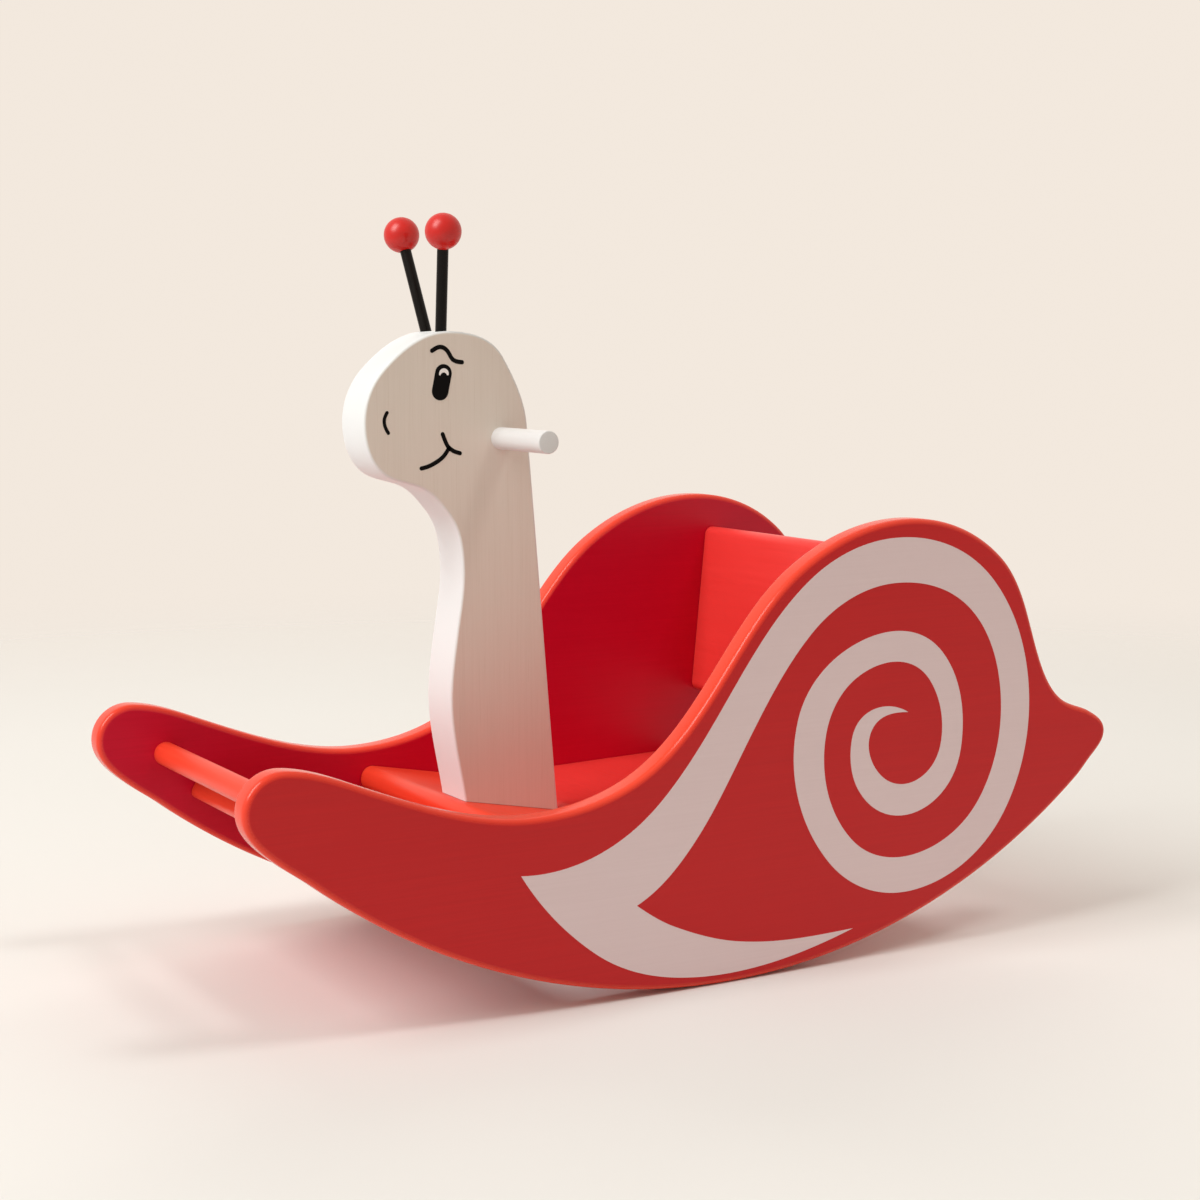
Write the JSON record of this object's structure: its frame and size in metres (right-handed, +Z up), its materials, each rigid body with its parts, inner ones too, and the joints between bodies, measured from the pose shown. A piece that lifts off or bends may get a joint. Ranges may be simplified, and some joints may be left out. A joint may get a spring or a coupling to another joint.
{
  "type": "rocking snail toy",
  "caption": "Wooden ride-on rocking snail: curved rocker sides with a spiral shell hump, seat, backrest, plank neck and head, cross handle and ball antennae.",
  "frame": {"origin": "on the floor under the middle of the toy's length and width", "axes": "+X forward, towards the snail's head end; +Y to the toy's left; +Z up"},
  "size_m": [0.89, 0.386, 0.6732],
  "materials": {
    "red_paint": "satin red paint on wood, faint grain showing",
    "white_stain": "thin white stain on wood, vertical grain showing, satin",
    "black_paint": "satin black paint on a thin dowel",
    "red_lacquer": "glossy red lacquer on a turned ball",
    "bare_beech": "bare beech dowel, matt",
    "zinc_steel": "zinc-plated wood screw"
  },
  "bodies": {
    "root": {"left_side_panel": "red_paint", "right_side_panel": "red_paint", "seat_board": "red_paint", "base_board": "red_paint", "backrest_board": "red_paint", "foot_board": "red_paint", "front_bar": "red_paint", "neck_and_head": "white_stain", "handle": "white_stain", "left_antenna_rod": "black_paint", "left_antenna_ball": "red_lacquer", "right_antenna_rod": "black_paint", "right_antenna_ball": "red_lacquer", "seat_board_dowel_front_left": "bare_beech", "seat_board_dowel_front_right": "bare_beech", "seat_board_dowel_rear_left": "bare_beech", "seat_board_dowel_rear_right": "bare_beech", "base_board_dowel_front_left": "bare_beech", "base_board_dowel_front_right": "bare_beech", "base_board_dowel_rear_left": "bare_beech", "base_board_dowel_rear_right": "bare_beech", "backrest_board_dowel_front_left": "bare_beech", "backrest_board_dowel_front_right": "bare_beech", "backrest_board_dowel_rear_left": "bare_beech", "backrest_board_dowel_rear_right": "bare_beech", "foot_board_dowel_front_left": "bare_beech", "foot_board_dowel_front_right": "bare_beech", "foot_board_dowel_rear_left": "bare_beech", "foot_board_dowel_rear_right": "bare_beech", "neck_screw_1": "zinc_steel", "neck_screw_2": "zinc_steel"}
  },
  "joints": []
}
